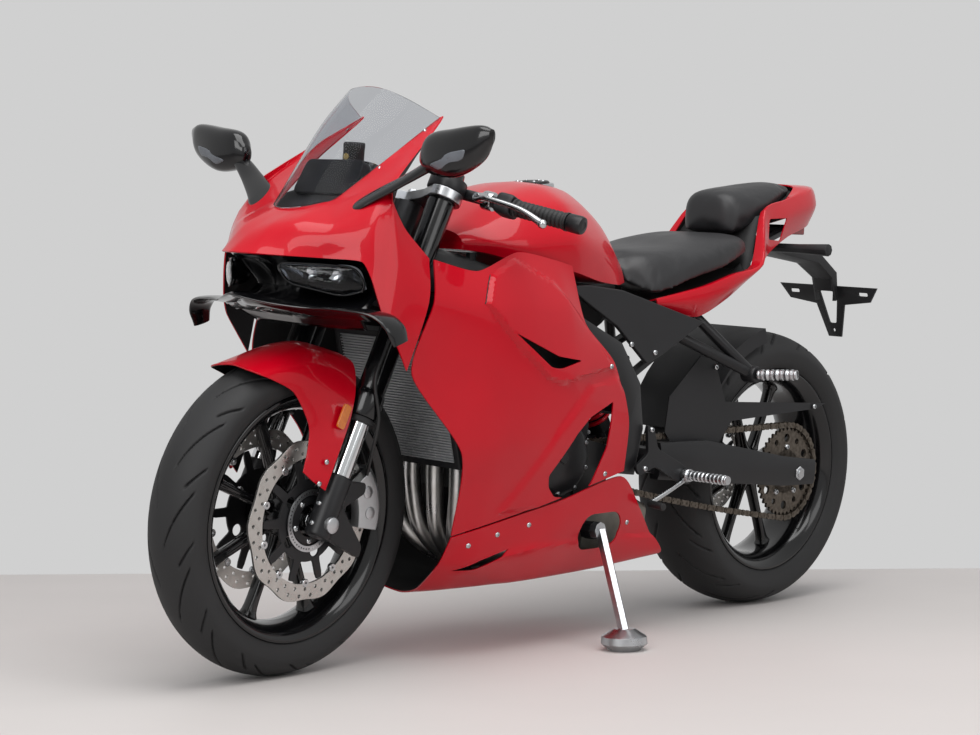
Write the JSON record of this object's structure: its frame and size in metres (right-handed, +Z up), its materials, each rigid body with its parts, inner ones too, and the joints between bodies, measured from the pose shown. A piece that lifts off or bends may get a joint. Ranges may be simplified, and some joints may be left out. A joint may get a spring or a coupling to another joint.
{
  "type": "sport bike",
  "caption": "Sport bike with full fairing, clip-on bars, perforated discs and chain drive, leaning on its side stand with the bars turned a little to the left.",
  "frame": {"origin": "middle of the box on the ground that the bike stands on", "axes": "+X forward, +Y to the rider's left, +Z up; the bike leans 4 degrees towards +Y on its side stand"},
  "size_m": [2.035, 0.8236, 1.0971],
  "materials": {
    "red_paint": "gloss",
    "black_gloss": "gloss",
    "black_plastic": "matte",
    "black_frame": "satin",
    "vinyl": "matte",
    "rubber": "matte",
    "aluminium": "satin",
    "steel": "satin",
    "chain_steel": "satin",
    "grey_lens": "gloss",
    "red_lens": "gloss"
  },
  "bodies": {
    "chassis": {"belly_pan": "red_paint", "dashboard": "black_plastic", "drive_chain": "chain_steel", "engine": "black_frame", "exhaust": "steel", "fairing_left": "red_paint", "fairing_right": "red_paint", "footrest_left": "black_frame", "footrest_right": "black_frame", "fuel_tank": "red_paint", "lamp_unit": "black_plastic", "main_frame": "black_frame", "mirror_left": "black_plastic", "mirror_right": "black_plastic", "nose_cowl": "red_paint", "nose_wing": "black_gloss", "pillion_seat": "vinyl", "plate_bracket": "black_plastic", "radiator": "black_plastic", "rear_axle": "aluminium", "rear_caliper": "aluminium", "rear_hugger": "black_plastic", "rear_shock": "steel", "rider_seat": "vinyl", "side_cover_left": "black_plastic", "side_cover_right": "black_plastic", "subframe": "black_frame", "swingarm": "black_frame", "tail_cowl": "red_paint", "tail_lamp": "red_lens", "windscreen": "grey_lens"},
    "steering": {"brake_lever": "aluminium", "clutch_lever": "aluminium", "fork_slider_left": "aluminium", "fork_slider_right": "aluminium", "fork_tube_left": "black_gloss", "fork_tube_right": "black_gloss", "front_axle": "aluminium", "front_caliper_left": "aluminium", "front_caliper_right": "aluminium", "front_mudguard": "red_paint", "handlebar_left": "black_plastic", "handlebar_right": "black_plastic", "triple_clamps": "aluminium"},
    "front_wheel": {"front_disc_left": "steel", "front_disc_right": "steel", "front_rim": "black_gloss", "front_tyre": "rubber"},
    "rear_wheel": {"rear_disc": "steel", "rear_rim": "black_gloss", "rear_sprocket": "steel", "rear_tyre": "rubber"},
    "stand": {"side_stand": "aluminium"}
  },
  "joints": [
    {"name": "steering", "type": "hinge", "parent": "chassis", "child": "steering", "pos_m": [0.69178, -0.04998, 0.28686], "axis": [-0.4147, 0.0635, 0.9077], "range_deg": [-29.5, 20.5]},
    {"name": "front_wheel_spin", "type": "hinge", "parent": "steering", "child": "front_wheel", "pos_m": [0.71899, -0.04676, 0.29907], "axis": [-0.0714, 0.9922, -0.102], "continuous": true},
    {"name": "rear_wheel_spin", "type": "hinge", "parent": "chassis", "child": "rear_wheel", "pos_m": [-0.68593, -0.04806, 0.31423], "axis": [0, 0.9976, -0.0698], "continuous": true},
    {"name": "side_stand_fold", "type": "hinge", "parent": "chassis", "child": "stand", "pos_m": [0.02958, 0.12237, 0.22843], "axis": [-0.0498, 0.9988, 0.0001], "range_deg": [0, 100]}
  ]
}
